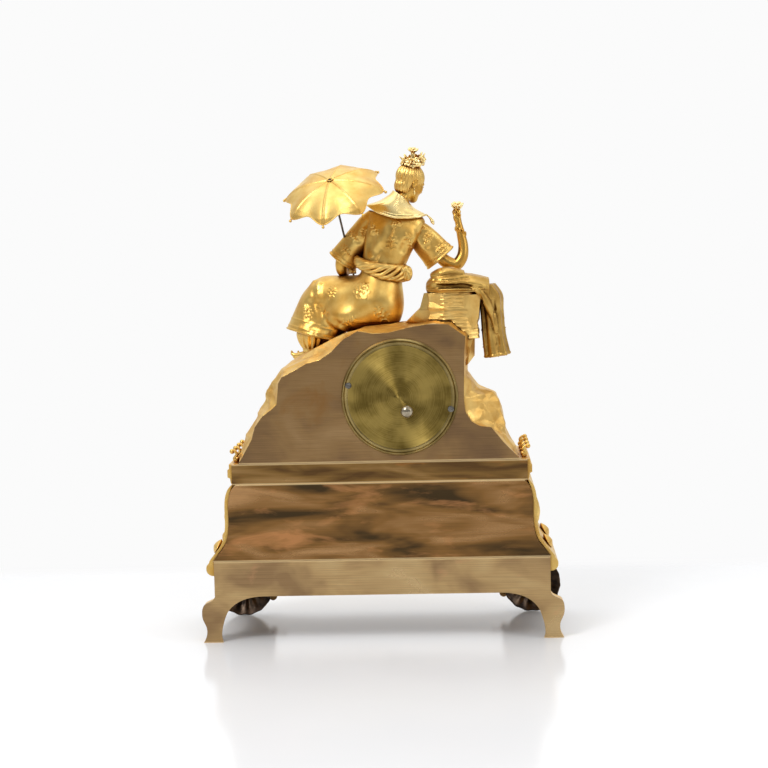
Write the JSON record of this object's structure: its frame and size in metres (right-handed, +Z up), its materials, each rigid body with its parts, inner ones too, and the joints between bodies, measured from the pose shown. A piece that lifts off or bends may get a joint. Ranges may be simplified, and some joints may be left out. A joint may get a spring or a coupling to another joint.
{
  "type": "figural mantel clock",
  "caption": "Gilt bronze mantel clock: a seated robed figure with a parasol on a rock that holds a drum movement, on a moulded plinth with feet.",
  "frame": {"origin": "on the table under the middle of the case", "axes": "+Z up, dial faces -Y, plain back faces +Y"},
  "size_m": [0.319, 0.1365, 0.4217],
  "materials": {
    "gilt_bronze": "matt and burnished mercury gilding on cast bronze",
    "rock_gilding": "matt gilding on rough cast bronze",
    "aged_back_brass": "tarnished brass sheet with horizontal brushing",
    "base_back_brass": "lighter tarnished brass sheet",
    "dark_foot_bronze": "dark patinated bronze",
    "turned_brass": "lathe-turned brass",
    "movement_brass": "polished brass",
    "bell_metal": "cast bell metal",
    "steel": "brushed steel",
    "blued_steel": "heat-blued steel",
    "dial_enamel": "white enamel on copper",
    "crystal": "clear flat glass"
  },
  "bodies": {
    "case": {"base_back_plate": "base_back_brass", "base_frame": "gilt_bronze", "front_foot_left": "dark_foot_bronze", "front_foot_right": "dark_foot_bronze", "plinth_shell": "gilt_bronze", "plinth_back_plate": "aged_back_brass", "cornice": "gilt_bronze", "cornice_back_plate": "aged_back_brass", "side_galleries": "gilt_bronze", "side_leaves": "gilt_bronze", "front_ornament": "gilt_bronze", "case_screws": "steel", "rock_mound": "rock_gilding", "rock_back_plate": "aged_back_brass", "rock_pillar": "rock_gilding", "pillar_drapery": "gilt_bronze", "robe_skirt": "gilt_bronze", "robe_torso": "gilt_bronze", "robe_sash": "gilt_bronze", "cape_collar": "gilt_bronze", "head": "gilt_bronze", "hair_flowers": "gilt_bronze", "arm_left": "gilt_bronze", "arm_right": "gilt_bronze", "legs": "gilt_bronze", "hand_flower": "gilt_bronze", "parasol_rod": "steel", "parasol_canopy": "gilt_bronze", "drum_case": "turned_brass", "rear_ring": "turned_brass", "dial_plate": "dial_enamel", "front_movement_plate": "movement_brass", "back_movement_plate": "movement_brass", "movement_pillars": "movement_brass", "pendulum_cock": "movement_brass", "bell": "bell_metal", "bell_stand": "steel"},
    "minute_arbor": {"centre_wheel": "movement_brass", "minute_hand": "blued_steel"},
    "motion_wheel": {"minute_wheel": "movement_brass"},
    "hour_pipe": {"hour_wheel": "movement_brass", "hour_hand": "blued_steel"},
    "going_drum": {"going_barrel": "movement_brass"},
    "going_key_arbor": {"going_winding_arbor": "steel"},
    "intermediate_arbor": {"intermediate_wheel": "movement_brass"},
    "third_arbor": {"third_wheel": "movement_brass"},
    "escape_arbor": {"escape_wheel": "movement_brass"},
    "pallet_arbor": {"anchor": "steel"},
    "pendulum": {"pendulum_rod": "steel", "pendulum_bob": "movement_brass"},
    "strike_drum": {"strike_barrel": "movement_brass"},
    "strike_key_arbor": {"strike_winding_arbor": "steel"},
    "strike_arbor": {"strike_wheel": "movement_brass"},
    "pin_arbor": {"pin_wheel": "movement_brass"},
    "fly_arbor": {"fly": "movement_brass"},
    "hammer_arbor": {"hammer": "steel"},
    "bezel_door": {"front_bezel": "gilt_bronze", "dial_glass": "crystal"},
    "dust_cover": {"back_cover": "turned_brass", "cover_knob": "steel"}
  },
  "joints": [
    {"name": "minute_turn", "type": "hinge", "parent": "case", "child": "minute_arbor", "pos_m": [-0.0191, 0, 0.2106], "axis": [0, 1, 0], "continuous": true},
    {"name": "motion_turn", "type": "hinge", "parent": "case", "child": "motion_wheel", "pos_m": [-0.0191, 0, 0.201], "axis": [0, 1, 0], "continuous": true},
    {"name": "hour_turn", "type": "hinge", "parent": "case", "child": "hour_pipe", "pos_m": [-0.0191, 0, 0.2106], "axis": [0, 1, 0], "continuous": true},
    {"name": "intermediate_turn", "type": "hinge", "parent": "case", "child": "intermediate_arbor", "pos_m": [-0.00266, 0, 0.2166], "axis": [0, 1, 0], "continuous": true},
    {"name": "going_drum_turn", "type": "hinge", "parent": "case", "child": "going_drum", "pos_m": [-0.0029, 0, 0.1986], "axis": [0, 1, 0], "continuous": true},
    {"name": "third_turn", "type": "hinge", "parent": "case", "child": "third_arbor", "pos_m": [-0.02769, 0, 0.22585], "axis": [0, 1, 0], "continuous": true},
    {"name": "escape_turn", "type": "hinge", "parent": "case", "child": "escape_arbor", "pos_m": [-0.0191, 0, 0.2356], "axis": [0, 1, 0], "continuous": true},
    {"name": "going_key_turn", "type": "hinge", "parent": "case", "child": "going_key_arbor", "pos_m": [-0.0029, 0, 0.1986], "axis": [0, 1, 0], "continuous": true},
    {"name": "pendulum_swing", "type": "hinge", "parent": "case", "child": "pendulum", "pos_m": [-0.0191, 0.014, 0.2461], "axis": [0, 1, 0], "range_deg": [-4, 4]},
    {"name": "pallet_rock", "type": "hinge", "parent": "case", "child": "pallet_arbor", "pos_m": [-0.0191, 0.014, 0.2461], "axis": [0, 1, 0], "range_deg": [-4, 4]},
    {"name": "strike_turn", "type": "hinge", "parent": "case", "child": "strike_arbor", "pos_m": [-0.03839, 0, 0.21633], "axis": [0, 1, 0], "continuous": true},
    {"name": "strike_drum_turn", "type": "hinge", "parent": "case", "child": "strike_drum", "pos_m": [-0.0353, 0, 0.1986], "axis": [0, 1, 0], "continuous": true},
    {"name": "pin_turn", "type": "hinge", "parent": "case", "child": "pin_arbor", "pos_m": [-0.04209, 0, 0.22827], "axis": [0, 1, 0], "continuous": true},
    {"name": "fly_turn", "type": "hinge", "parent": "case", "child": "fly_arbor", "pos_m": [-0.03566, 0, 0.23593], "axis": [0, 1, 0], "continuous": true},
    {"name": "strike_key_turn", "type": "hinge", "parent": "case", "child": "strike_key_arbor", "pos_m": [-0.0353, 0, 0.1986], "axis": [0, 1, 0], "continuous": true},
    {"name": "hammer_swing", "type": "hinge", "parent": "case", "child": "hammer_arbor", "pos_m": [-0.0521, 0, 0.2206], "axis": [0, 1, 0], "range_deg": [-3, 14], "stiffness_Nm_per_rad": 0.02, "springref_deg": -11.46},
    {"name": "bezel_opening", "type": "hinge", "parent": "case", "child": "bezel_door", "pos_m": [-0.0703, -0.0397, 0.2106], "axis": [0, 0, -1], "range_deg": [0, 110]},
    {"name": "cover_pull", "type": "slide", "parent": "case", "child": "dust_cover", "axis": [0, 1, 0], "range_m": [0, 0.03]}
  ],
  "couplings": [
    {"joint": "motion_turn", "follows": "minute_turn", "ratio": -0.33333},
    {"joint": "hour_turn", "follows": "minute_turn", "ratio": 0.083333},
    {"joint": "intermediate_turn", "follows": "minute_turn", "ratio": -0.16667},
    {"joint": "going_drum_turn", "follows": "minute_turn", "ratio": 0.026882},
    {"joint": "third_turn", "follows": "minute_turn", "ratio": -6},
    {"joint": "escape_turn", "follows": "minute_turn", "ratio": 33},
    {"joint": "pallet_rock", "follows": "pendulum_swing", "ratio": 1},
    {"joint": "strike_drum_turn", "follows": "strike_turn", "ratio": -0.16129},
    {"joint": "pin_turn", "follows": "strike_turn", "ratio": -4},
    {"joint": "fly_turn", "follows": "strike_turn", "ratio": 16}
  ]
}
